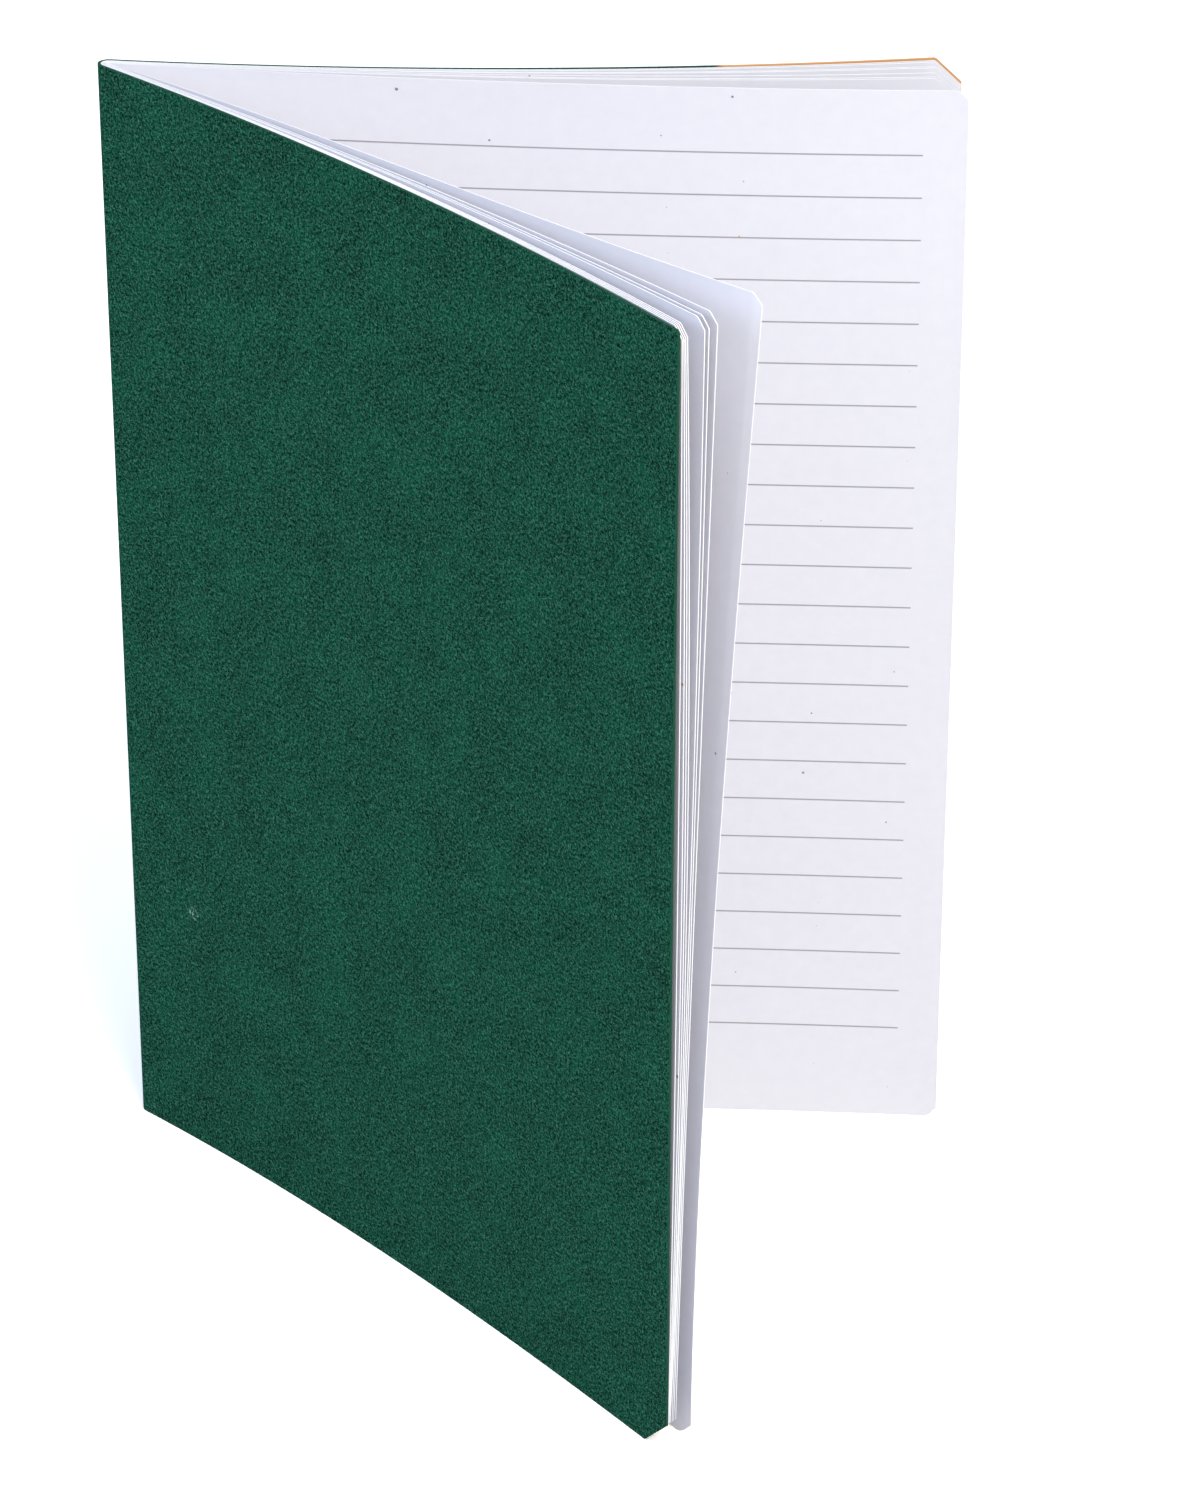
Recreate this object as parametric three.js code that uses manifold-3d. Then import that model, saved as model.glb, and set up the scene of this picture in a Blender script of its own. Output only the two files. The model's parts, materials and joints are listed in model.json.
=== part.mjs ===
// Stapled A5 notebook with card covers and ruled leaves, standing open on its bottom edges.
//
// Eight sheets of paper are folded once and nested in a folded card cover, and two wire staples hold
// them at the fold. The foot of the spine is at the origin and the fold stands along Z. The back half
// lies along +X and the front half is swung towards -Y, so the open book is a V seen from above.
//
// Every leaf and cover panel is one thin sheet that leaves the fold at its own heading and bends on
// its way to the fore edge. The fan is wider at the head than at the foot, so each sheet twists.

import * as THREE from "three";
import { mergeVertices } from "three/addons/utils/BufferGeometryUtils.js";
import Module from "manifold-3d";

const wasm = await Module();
wasm.setup();

// Page and stock, in millimetres
const PAGE_WIDTH = 148;
const PAGE_HEIGHT = 210;
const PAPER_THICKNESS = 0.1;
const CARD_THICKNESS = 0.5;

// The fore corners are clipped at 45 degrees. The front half's lower corner is clipped deeper, cover
// and leaves together, and so is the back half's upper corner. The innermost sheet escaped both.
const CORNER_CUT = 1.8;
const FRONT_COVER_HEAD_CUT = 0.5;
const FRONT_FOOT_CUT = 6;
const INNERMOST_FOOT_CUT = 2.8;
const BACK_HEAD_CUT = 4.6;

// How much shorter the back half is trimmed than its innermost leaf
const BACK_TRIM = 1.3;

// Air between two sheets where they nest at the fold
const SHEET_GAP = 0.06;

// Clearance from what is stapled down to the first edge that turns
const TURNING_GAP = 0.3;

// Wire staples, with their crowns pressed part of the way into the spine's card
const WIRE_DIAMETER = 0.5;
const STAPLE_WIDTH = 12;
const STAPLE_CLINCH = 4.5;
const STAPLE_BEND_RADIUS = 0.5;
const STAPLE_INSET = 50;
const STAPLE_HOLE_CLEARANCE = 0.12;
const CROWN_SINK = 0.25;

// The book's two halves. A half's headings are in degrees from +X, and its outer face looks to the
// right of its heading for the front half (-1) and to the left for the back half (1).
const HALVES = {
  front: { fold: -43, outward: -1 },
  back: { fold: -4, outward: 1 },
};

// How the twist grows from foot to head
const TWIST_POWER = 1.7;

// The lie of each sheet, in degrees. At its head and at its foot it has a chord, the direction from
// fold to fore edge, a bend, which is how much the heading turns on the way, and a curl, the part of
// that turn which only comes late. Bow is how far its middle height stands off towards the back.
// Each half is listed from its cover inwards.
const LIES = {
  front: [
    { head: [-48.7, -12, 0], foot: [-49.1, -15.2, 5.3], bow: 0 },
    { head: [-48.53, -11.66, 0], foot: [-49.06, -15.25, 5.3], bow: 0.63 },
    { head: [-48.43, -11.56, 0], foot: [-49.06, -15.35, 5.3], bow: 1.18 },
    { head: [-48.33, -11.46, 0], foot: [-49.04, -15.41, 5.3], bow: 1.44 },
    { head: [-48.22, -11.34, 0], foot: [-49.02, -15.47, 5.3], bow: 1.68 },
    { head: [-46.85, -9.1, 0], foot: [-48.89, -15.31, 5.3], bow: 1.17 },
    { head: [-46.53, -8.66, 0], foot: [-48.79, -15.31, 5.3], bow: 1.11 },
    { head: [-45.86, -7.72, 0], foot: [-48.65, -15.43, 5.3], bow: 0.9 },
    { head: [-41.9, -17.8, 17.5], foot: [-47.3, -9.8, 0], bow: 0.3 },
  ],
  back: [
    { head: [0.7, 15, 0], foot: [0.9, -2.8, 0], bow: 0 },
    { head: [0.35, 14.5, 0], foot: [0.7, -3.1, 0], bow: 0 },
    { head: [0.1, 14.2, 0], foot: [0.5, -3.4, 0], bow: 0 },
    { head: [-0.7, 13.2, 0], foot: [0.3, -3.7, 0], bow: 0 },
    { head: [-0.9, 13, 0], foot: [0.1, -4, 0], bow: 0 },
    { head: [-1.8, 12, 0], foot: [-0.2, -4.5, 0], bow: 0 },
    { head: [-2.5, 11.4, 0], foot: [-0.5, -5, 0], bow: 0 },
    { head: [-2.75, 11.3, 0], foot: [-0.8, -5.5, 0], bow: 0 },
    { head: [-5, 8.4, 0], foot: [-1.3, -6.4, 0], bow: 0 },
  ],
};

// Facets
const SHEET_COLUMNS = 12;
const SHEET_ROWS = 6;
const CURVE_STEPS = 36;
const FOLD_ARC_STEPS = 6;
const WIRE_SIDES = 8;
const WIRE_BEND_STEPS = 3;
const HOLE_SIDES = 6;

const radians = THREE.MathUtils.degToRad;

// Sizes that follow from those above
const SHEET_COUNT = LIES.front.length - 1;
const SHEET_PITCH = PAPER_THICKNESS + SHEET_GAP;
const COVER_OFFSET = SHEET_COUNT * SHEET_PITCH + (CARD_THICKNESS + SHEET_GAP) / 2;
const SPINE_RADIUS = COVER_OFFSET + CARD_THICKNESS / 2;
const CROWN_RADIUS = SPINE_RADIUS - CROWN_SINK + WIRE_DIAMETER / 2;
const BINDING_RADIUS = CROWN_RADIUS + WIRE_DIAMETER / 2 + TURNING_GAP;
const SHEET_START = BINDING_RADIUS + TURNING_GAP;
const STAPLE_HEADING = (HALVES.front.fold + HALVES.back.fold) / 2;
const HALF_OPENING = (HALVES.back.fold - HALVES.front.fold) / 2;

// Distance of a sheet's middle from the fold line. The cover is number 0, then the sheets inwards.
function sheetOffset(number) {
  return number === 0 ? COVER_OFFSET : (SHEET_COUNT - number + 0.5) * SHEET_PITCH;
}

// How deep the clips at a sheet's upper and lower fore corners are
function cornerCuts(half, number) {
  const innermost = number === SHEET_COUNT;
  if (half === "front") {
    const head = number === 0 ? FRONT_COVER_HEAD_CUT : CORNER_CUT;
    return { head, foot: innermost ? INNERMOST_FOOT_CUT : FRONT_FOOT_CUT };
  }
  return { head: innermost ? CORNER_CUT : BACK_HEAD_CUT, foot: CORNER_CUT };
}

// Distance from fold to fore edge. Trimmed together when closed, the inner sheets stand back here.
function sheetReach(half, number) {
  const creep = (COVER_OFFSET - sheetOffset(number)) * radians(HALF_OPENING);
  const trim = half === "back" && number < SHEET_COUNT ? BACK_TRIM : 0;
  return PAGE_WIDTH - creep - trim;
}

// Everything that gives one half of a folded sheet its shape
function describeSheet(half, number) {
  return {
    outward: HALVES[half].outward,
    lie: LIES[half][number],
    offset: sheetOffset(number),
    thickness: number === 0 ? CARD_THICKNESS : PAPER_THICKNESS,
    cuts: cornerCuts(half, number),
    reach: sheetReach(half, number),
  };
}

// Heading in degrees at a share of the way to the fore edge, at the head or the foot of a sheet
function endHeading([chord, bend, curl], share) {
  const root = chord - bend / 2 - curl / 3;
  return root + bend * share + curl * share * share;
}

// Heading in radians at any height, blended from foot to head
function heading(lie, share, z) {
  const height = z / PAGE_HEIGHT;
  const foot = endHeading(lie.foot, share);
  const head = endHeading(lie.head, share);
  const bow = lie.bow * 4 * height * (1 - height) * share;
  return radians(foot + (head - foot) * Math.pow(height, TWIST_POWER) + bow);
}

// Plan position of a sheet's middle, found by walking along it at one height
function planPoint(sheet, distance, z) {
  const start = heading(sheet.lie, 0, z);
  const aside = sheet.outward * sheet.offset;
  let x = SHEET_START * Math.cos(start) - aside * Math.sin(start);
  let y = SHEET_START * Math.sin(start) + aside * Math.cos(start);
  const step = (distance - SHEET_START) / CURVE_STEPS;
  for (let i = 0; i < CURVE_STEPS; i++) {
    const along = SHEET_START + (i + 0.5) * step;
    const direction = heading(sheet.lie, along / PAGE_WIDTH, z);
    x += Math.cos(direction) * step;
    y += Math.sin(direction) * step;
  }
  return new THREE.Vector2(x, y);
}

// Distances of a sheet's columns from the fold, with one where each corner clip starts
function columnDistances(sheet) {
  const cuts = [...new Set([sheet.cuts.head, sheet.cuts.foot])];
  cuts.sort((a, b) => b - a);
  const distances = [];
  for (let i = 0; i < SHEET_COLUMNS; i++) {
    distances.push(THREE.MathUtils.lerp(SHEET_START, sheet.reach - cuts[0], i / SHEET_COLUMNS));
  }
  for (const cut of cuts) {
    distances.push(sheet.reach - cut);
  }
  distances.push(sheet.reach);
  return distances;
}

// One leaf or cover panel: two faces of columns and rows, joined round the rim
function sheetSolid(sheet) {
  const distances = columnDistances(sheet);
  const columns = distances.length;
  const rows = SHEET_ROWS + 1;
  const positions = [];
  for (const face of [-0.5, 0.5]) {
    for (const distance of distances) {
      const lowest = Math.max(0, distance - (sheet.reach - sheet.cuts.foot));
      const highest = PAGE_HEIGHT - Math.max(0, distance - (sheet.reach - sheet.cuts.head));
      for (let row = 0; row < rows; row++) {
        const z = THREE.MathUtils.lerp(lowest, highest, row / SHEET_ROWS);
        const middle = planPoint(sheet, distance, z);
        const direction = heading(sheet.lie, distance / PAGE_WIDTH, z);
        const x = middle.x - Math.sin(direction) * sheet.thickness * face;
        const y = middle.y + Math.cos(direction) * sheet.thickness * face;
        positions.push(x, y, z);
      }
    }
  }
  const vertex = (face, column, row) => (face * columns + column) * rows + row;
  const indices = [];
  const quad = (a, b, c, d) => indices.push(a, b, c, a, c, d);
  for (let i = 0; i + 1 < columns; i++) {
    for (let j = 0; j + 1 < rows; j++) {
      quad(vertex(0, i, j), vertex(0, i + 1, j), vertex(0, i + 1, j + 1), vertex(0, i, j + 1));
      quad(vertex(1, i, j), vertex(1, i, j + 1), vertex(1, i + 1, j + 1), vertex(1, i + 1, j));
    }
    const top = rows - 1;
    quad(vertex(0, i, 0), vertex(1, i, 0), vertex(1, i + 1, 0), vertex(0, i + 1, 0));
    quad(vertex(0, i, top), vertex(0, i + 1, top), vertex(1, i + 1, top), vertex(1, i, top));
  }
  for (let j = 0; j + 1 < rows; j++) {
    const last = columns - 1;
    quad(vertex(0, 0, j), vertex(0, 0, j + 1), vertex(1, 0, j + 1), vertex(1, 0, j));
    quad(vertex(0, last, j), vertex(1, last, j), vertex(1, last, j + 1), vertex(0, last, j + 1));
  }
  const geometry = new THREE.BufferGeometry();
  geometry.setAttribute("position", new THREE.Float32BufferAttribute(positions, 3));
  geometry.setIndex(indices);
  geometry.computeVertexNormals();
  return geometry;
}

// Three.js geometry to a manifold solid and back
function toSolid(geometry) {
  const bare = geometry.clone();
  bare.deleteAttribute("normal");
  bare.deleteAttribute("uv");
  const merged = mergeVertices(bare);
  const vertProperties = new Float32Array(merged.attributes.position.array);
  const triVerts = new Uint32Array(merged.index.array);
  return new wasm.Manifold(new wasm.Mesh({ numProp: 3, vertProperties, triVerts }));
}

function toGeometry(solid) {
  const mesh = solid.getMesh();
  const geometry = new THREE.BufferGeometry();
  geometry.setAttribute("position", new THREE.BufferAttribute(mesh.vertProperties, 3));
  geometry.setIndex(new THREE.BufferAttribute(mesh.triVerts, 1));
  geometry.computeVertexNormals();
  return geometry;
}

// A point of the fold's section, off one arm by a radius and out along that arm
function armPoint(half, radius, along) {
  const direction = radians(half.fold);
  const aside = half.outward * radius;
  const x = along * Math.cos(direction) - aside * Math.sin(direction);
  const y = along * Math.sin(direction) + aside * Math.cos(direction);
  return new THREE.Vector2(x, y);
}

// One face of the fold in section, from the front arm's end round the back of the fold line
function foldFace(radius, armLength) {
  const frontNormal = radians(HALVES.front.fold - 90);
  const backNormal = radians(HALVES.back.fold + 90 - 360);
  const points = [armPoint(HALVES.front, radius, armLength)];
  for (let i = 0; i <= FOLD_ARC_STEPS; i++) {
    const angle = THREE.MathUtils.lerp(frontNormal, backNormal, i / FOLD_ARC_STEPS);
    points.push(new THREE.Vector2(radius * Math.cos(angle), radius * Math.sin(angle)));
  }
  points.push(armPoint(HALVES.back, radius, armLength));
  return points;
}

// A folded strip of the stapled part, with the staples' holes through it
function foldStrip(offset, thickness) {
  const outer = offset + thickness / 2;
  const inner = offset - thickness / 2;
  const armLength = Math.sqrt(BINDING_RADIUS ** 2 - outer ** 2);
  const outline = [...foldFace(outer, armLength), ...foldFace(inner, armLength).reverse()];
  const section = new THREE.Shape(outline);
  const strip = new THREE.ExtrudeGeometry(section, { depth: PAGE_HEIGHT, bevelEnabled: false });
  let solid = toSolid(strip);
  for (const centre of stapleCentres()) {
    for (const leg of [-1, 1]) {
      solid = solid.subtract(toSolid(legHole(centre + (leg * STAPLE_WIDTH) / 2)));
    }
  }
  return solid;
}

// The cover's strip also has a groove for each staple's crown
function spineStrip() {
  let solid = foldStrip(COVER_OFFSET, CARD_THICKNESS);
  for (const centre of stapleCentres()) {
    solid = solid.subtract(toSolid(crownGroove(centre)));
  }
  return solid;
}

// Heights of the staples' middles, the lower one first
function stapleCentres() {
  return [STAPLE_INSET, PAGE_HEIGHT - STAPLE_INSET];
}

// Unit vector from the back of the fold into the open book
function stapleDirection() {
  const direction = radians(STAPLE_HEADING);
  return new THREE.Vector3(Math.cos(direction), Math.sin(direction), 0);
}

// The hole that one staple leg makes
function legHole(z) {
  const radius = WIRE_DIAMETER / 2 + STAPLE_HOLE_CLEARANCE;
  const hole = new THREE.CylinderGeometry(radius, radius, 2 * BINDING_RADIUS, HOLE_SIDES);
  hole.rotateZ(radians(STAPLE_HEADING + 90));
  hole.translate(0, 0, z);
  return hole;
}

// The groove that a staple's crown presses into the card, open to the back
function crownGroove(z) {
  const floor = SPINE_RADIUS - CROWN_SINK - SHEET_GAP;
  const depth = BINDING_RADIUS - floor;
  const length = STAPLE_WIDTH + WIRE_DIAMETER + 2 * SHEET_GAP;
  const groove = new THREE.BoxGeometry(depth, WIRE_DIAMETER + 2 * SHEET_GAP, length);
  groove.translate(-floor - depth / 2, 0, 0);
  groove.rotateZ(radians(STAPLE_HEADING));
  groove.translate(0, 0, z);
  return groove;
}

// How far inside the fold the clinched wire lies, so that it clears both inner leaves
function clinchDepth() {
  const clear = (WIRE_DIAMETER + PAPER_THICKNESS) / 2 + 2 * SHEET_GAP - SHEET_PITCH / 2;
  return clear / Math.sin(radians(HALF_OPENING));
}

// The staple's centre line as depth and height, with each corner rounded
function staplePath() {
  const depth = clinchDepth();
  const half = STAPLE_WIDTH / 2;
  const corners = [
    new THREE.Vector2(depth, half - STAPLE_CLINCH),
    new THREE.Vector2(depth, half),
    new THREE.Vector2(-CROWN_RADIUS, half),
    new THREE.Vector2(-CROWN_RADIUS, -half),
    new THREE.Vector2(depth, -half),
    new THREE.Vector2(depth, STAPLE_CLINCH - half),
  ];
  const path = [corners[0]];
  for (let i = 1; i + 1 < corners.length; i++) {
    const before = corners[i - 1].clone().sub(corners[i]).setLength(STAPLE_BEND_RADIUS);
    const after = corners[i + 1].clone().sub(corners[i]).setLength(STAPLE_BEND_RADIUS);
    const centre = corners[i].clone().add(before).add(after);
    for (let step = 0; step <= WIRE_BEND_STEPS; step++) {
      const turn = (step / WIRE_BEND_STEPS) * (Math.PI / 2);
      const point = centre.clone();
      point.addScaledVector(after, -Math.cos(turn));
      point.addScaledVector(before, -Math.sin(turn));
      path.push(point);
    }
  }
  path.push(corners[corners.length - 1]);
  return path;
}

// A round wire swept along a flat path of depth and height, about a middle at height z
function stapleSolid(z) {
  const path = staplePath();
  const inward = stapleDirection();
  const up = new THREE.Vector3(0, 0, 1);
  const across = new THREE.Vector3().crossVectors(inward, up);
  const radius = WIRE_DIAMETER / 2;
  const positions = [];
  for (let i = 0; i < path.length; i++) {
    const ahead = path[Math.min(i + 1, path.length - 1)].clone().sub(path[i]).normalize();
    const behind = path[i].clone().sub(path[Math.max(i - 1, 0)]).normalize();
    const tangent = ahead.add(behind).normalize();
    const normal = inward.clone().multiplyScalar(-tangent.y).addScaledVector(up, tangent.x);
    const centre = inward.clone().multiplyScalar(path[i].x).addScaledVector(up, path[i].y + z);
    for (let side = 0; side < WIRE_SIDES; side++) {
      const angle = (side / WIRE_SIDES) * 2 * Math.PI;
      const point = centre.clone().addScaledVector(normal, radius * Math.cos(angle));
      point.addScaledVector(across, radius * Math.sin(angle));
      positions.push(point.x, point.y, point.z);
    }
  }
  const indices = [];
  const last = (path.length - 1) * WIRE_SIDES;
  for (let side = 0; side < WIRE_SIDES; side++) {
    const next = (side + 1) % WIRE_SIDES;
    for (let ring = 0; ring < last; ring += WIRE_SIDES) {
      indices.push(ring + side, ring + WIRE_SIDES + next, ring + WIRE_SIDES + side);
      indices.push(ring + side, ring + next, ring + WIRE_SIDES + next);
    }
    if (side > 0 && next > 0) {
      indices.push(0, next, side);
      indices.push(last, last + side, last + next);
    }
  }
  const geometry = new THREE.BufferGeometry();
  geometry.setAttribute("position", new THREE.Float32BufferAttribute(positions, 3));
  geometry.setIndex(indices);
  geometry.computeVertexNormals();
  return geometry;
}

// Finishes
function coverCard() {
  return new THREE.MeshStandardMaterial({ color: 0x1d5a46, roughness: 0.9, metalness: 0 });
}

function writingPaper() {
  return new THREE.MeshStandardMaterial({ color: 0xf3f2f6, roughness: 0.85, metalness: 0 });
}

function stapleWire() {
  return new THREE.MeshStandardMaterial({ color: 0xb9bcc0, roughness: 0.35, metalness: 1 });
}

// The notebook, moved from the fold line so that the middle of the spine's card is at the origin
const notebook = new THREE.Group();
notebook.position.copy(stapleDirection()).multiplyScalar(COVER_OFFSET);

function addPiece(name, geometry, material) {
  const mesh = new THREE.Mesh(geometry, material);
  mesh.name = name;
  notebook.add(mesh);
}

function addCover() {
  addPiece("cover_spine", toGeometry(spineStrip()), coverCard());
  addPiece("front_cover", sheetSolid(describeSheet("front", 0)), coverCard());
  addPiece("back_cover", sheetSolid(describeSheet("back", 0)), coverCard());
}

function addSheet(number) {
  const fold = foldStrip(sheetOffset(number), PAPER_THICKNESS);
  addPiece(`sheet_fold_${number}`, toGeometry(fold), writingPaper());
  addPiece(`front_leaf_${number}`, sheetSolid(describeSheet("front", number)), writingPaper());
  addPiece(`back_leaf_${number}`, sheetSolid(describeSheet("back", number)), writingPaper());
}

function addStaples() {
  const [lower, upper] = stapleCentres();
  addPiece("lower_staple", stapleSolid(lower), stapleWire());
  addPiece("upper_staple", stapleSolid(upper), stapleWire());
}

addCover();
for (let number = 1; number <= SHEET_COUNT; number++) {
  addSheet(number);
}
addStaples();

export default notebook;
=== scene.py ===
import json
import math
from collections import namedtuple

import bmesh
import bpy
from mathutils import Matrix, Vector


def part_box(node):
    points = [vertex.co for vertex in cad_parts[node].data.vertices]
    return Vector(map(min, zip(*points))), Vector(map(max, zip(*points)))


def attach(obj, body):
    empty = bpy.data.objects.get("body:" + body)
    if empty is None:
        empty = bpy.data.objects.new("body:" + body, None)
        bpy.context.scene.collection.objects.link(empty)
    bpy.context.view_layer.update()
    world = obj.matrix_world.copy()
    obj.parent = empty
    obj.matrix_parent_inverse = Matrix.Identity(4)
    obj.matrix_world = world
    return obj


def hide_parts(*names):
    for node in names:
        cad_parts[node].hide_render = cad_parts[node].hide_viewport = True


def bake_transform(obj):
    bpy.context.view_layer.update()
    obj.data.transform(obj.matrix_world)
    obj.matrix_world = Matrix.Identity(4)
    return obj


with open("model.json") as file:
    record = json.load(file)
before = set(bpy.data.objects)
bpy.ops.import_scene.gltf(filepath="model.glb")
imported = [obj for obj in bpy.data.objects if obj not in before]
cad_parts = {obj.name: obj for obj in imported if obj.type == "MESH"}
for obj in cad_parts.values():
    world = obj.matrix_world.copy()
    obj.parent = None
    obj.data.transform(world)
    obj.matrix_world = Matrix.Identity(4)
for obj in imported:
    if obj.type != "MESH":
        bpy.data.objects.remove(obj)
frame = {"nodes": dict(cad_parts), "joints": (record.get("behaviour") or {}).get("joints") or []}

# A stapled A5 notebook with card covers and ruled leaves, standing open on its bottom edges.
#
# The imported model gives the page height, the fold line and the bodies that turn. Each half of a
# folded sheet is one thin piece here. It starts at the crest of the fold, comes round into the arm
# of the fold and goes on as the leaf.

# A new scene's startup objects aren't part of the notebook
for startup_object in ("Cube", "Light", "Camera"):
    if startup_object in bpy.data.objects:
        bpy.data.objects.remove(bpy.data.objects[startup_object])
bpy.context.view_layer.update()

MM = 0.001
PER_MILLIMETRE = (1 / MM, 1 / MM, 1 / MM)

# Page, stock and fold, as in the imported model. The folded sheets lie a small gap apart. Up to the
# sheet start, a sheet eases from the heading of its arm of the fold to that of its leaf.
PAGE_WIDTH = 148 * MM
PAGE_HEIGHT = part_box("front_cover")[1].z
FOLD_LINE = Vector(frame["joints"][0]["pos_m"])
SHEET_COUNT = sum(name.startswith("front_leaf_") for name in frame["nodes"])
PAPER_THICKNESS = 0.1 * MM
CARD_THICKNESS = 0.5 * MM
SHEET_GAP = 0.06 * MM
SHEET_PITCH = PAPER_THICKNESS + SHEET_GAP
COVER_OFFSET = SHEET_COUNT * SHEET_PITCH + (CARD_THICKNESS + SHEET_GAP) / 2
SHEET_START = 2.66 * MM

# The fore corners are clipped at 45 degrees. The front half's lower corner is clipped deeper, and so
# is the back half's upper corner. The innermost sheet escaped both, and its lower clips are rounder.
CORNER_CUT = 1.8 * MM
FRONT_COVER_HEAD_CUT = 0.5 * MM
FRONT_FOOT_CUT = 6 * MM
INNERMOST_FOOT_CUT = 2.8 * MM
BACK_HEAD_CUT = 4.6 * MM

# A clip is eased into the straight edge over this much to either side of its inner end
CORNER_BLEND = 0.35 * MM
INNERMOST_FOOT_BLEND = 1.2 * MM

# How much shorter the back half is trimmed than its innermost leaf
BACK_TRIM = 1.3 * MM

# A leaf thickens to its burred fore edge, where the fan leaves room, and less so close to its foot
BURRED_THICKNESS = 0.2 * MM
BURR_LENGTH = 80 * MM
BURR_HEIGHT = 20 * MM

# Headings in degrees from +X: the middle of the fold, and its front and back arms
FOLD_HEADING = -23.5
FRONT_ARM = -43
BACK_ARM = -4

# A side is 1 for the back half, whose outer face looks to the left of its heading, and -1 for the
# front half, whose outer face looks to the right
FRONT = -1
BACK = 1

# How the twist grows from foot to head
TWIST_POWER = 1.7

# The lie of each sheet in degrees. At its head and at its foot it has the chord from fold to fore
# edge, how much the heading bends evenly on the way, and how much more it curls towards the fore
# edge. Bow is how far the fore edge turns towards the back at middle height. The cover comes first,
# then the leaves.
Lie = namedtuple("Lie", "head foot bow")
FRONT_LIES = [
    Lie(head=(-48.7, -12, 0), foot=(-49.1, -15.2, 5.3), bow=0),
    Lie(head=(-48.53, -11.66, 0), foot=(-49.06, -15.25, 5.3), bow=0.63),
    Lie(head=(-48.43, -11.56, 0), foot=(-49.06, -15.35, 5.3), bow=1.18),
    Lie(head=(-48.33, -11.46, 0), foot=(-49.04, -15.41, 5.3), bow=1.44),
    Lie(head=(-48.22, -11.34, 0), foot=(-49.02, -15.47, 5.3), bow=1.68),
    Lie(head=(-46.85, -9.1, 0), foot=(-48.89, -15.31, 5.3), bow=1.17),
    Lie(head=(-46.53, -8.66, 0), foot=(-48.79, -15.31, 5.3), bow=1.11),
    Lie(head=(-45.86, -7.72, 0), foot=(-48.65, -15.43, 5.3), bow=0.9),
    Lie(head=(-41.9, -17.8, 17.5), foot=(-47.3, -9.8, 0), bow=0.3),
]
BACK_LIES = [
    Lie(head=(0.7, 15, 0), foot=(0.9, -2.8, 0), bow=0),
    Lie(head=(0.35, 14.5, 0), foot=(0.7, -3.1, 0), bow=0),
    Lie(head=(0.1, 14.2, 0), foot=(0.5, -3.4, 0), bow=0),
    Lie(head=(-0.7, 13.2, 0), foot=(0.3, -3.7, 0), bow=0),
    Lie(head=(-0.9, 13, 0), foot=(0.1, -4, 0), bow=0),
    Lie(head=(-1.8, 12, 0), foot=(-0.2, -4.5, 0), bow=0),
    Lie(head=(-2.5, 11.4, 0), foot=(-0.5, -5, 0), bow=0),
    Lie(head=(-2.75, 11.3, 0), foot=(-0.8, -5.5, 0), bow=0),
    Lie(head=(-5, 8.4, 0), foot=(-1.3, -6.4, 0), bow=0),
]

# Wire staples, with depths measured from the fold line into the book
WIRE_DIAMETER = 0.5 * MM
STAPLE_WIDTH = 12 * MM
STAPLE_CLINCH = 4.5 * MM
STAPLE_BEND_RADIUS = 0.5 * MM
CROWN_DEPTH = -1.81 * MM
CLINCH_DEPTH = 1.02 * MM

# Printed ruling: grey lines that stop short of the fore edge and of the fold
LINE_COUNT = 23
LINE_PITCH = 8.12 * MM
LINE_WIDTH = 0.28 * MM
FIRST_LINE_DROP = 12.2 * MM
FORE_MARGIN = 7.6 * MM
OUTER_FACE_FORE_MARGIN = 11.5 * MM
GUTTER_MARGIN = 10 * MM

# Specks in the paper, in millimetres: the squares that may hold one, its largest radius, the share of
# squares without any and the share of grey ones among the rest. The mesh attribute shifts the pattern
# by this much from leaf to leaf.
SPECK_SPACING = 14.0
SPECK_RADIUS = 0.32
SPECKLESS_SHARE = 0.55
GREY_SPECK_SHARE = 0.82
SPECK_SHIFT_ATTRIBUTE = "speck_shift"
SPECK_SHIFT = Vector((371, 233, 0))

# How far in from the fore edge the back cover's cut edge is tan, and how far down its faces that
# shows along the head. Both end in a short fade.
TAN_EDGE_LENGTH = 43 * MM
TAN_EDGE_FADE = 2 * MM
TAN_RIM = 1.6 * MM
TAN_RIM_FADE = 0.3 * MM

# Mesh steps along a sheet, from the crest of the fold to the fore edge, and up its height
CREST_STEPS = 8
ARM_STEPS = 8
LEAF_STEPS = 44
CORNER_STEPS = 4
HEIGHT_STEPS = 40

# Mesh steps round a bend of a staple, and the bevel resolution that gives its wire its sides
STAPLE_BEND_STEPS = 8
WIRE_BEVEL_RESOLUTION = 4

# Camera: focal length in pixels of the 1200 x 1500 photograph, place and downward tilt. The sensor's
# millimetres lie along the photograph's longer side.
FOCAL_PIXELS = 5757
PHOTO_HEIGHT_PIXELS = 1500
SENSOR = 36
CAMERA_PLACE = Vector((85.7, -925.0, 573.1)) * MM
CAMERA_TILT = 28.25


def place_camera():
    """Sets the camera up as it stood for the photograph."""
    data = bpy.data.cameras.new("camera")
    data.sensor_width = SENSOR
    data.lens = FOCAL_PIXELS * SENSOR / PHOTO_HEIGHT_PIXELS
    data.clip_start = 0.01
    camera = bpy.data.objects.new("camera", data)
    camera.location = CAMERA_PLACE
    camera.rotation_euler = (math.radians(90 - CAMERA_TILT), 0, 0)
    bpy.context.scene.collection.objects.link(camera)
    bpy.context.scene.camera = camera


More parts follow.
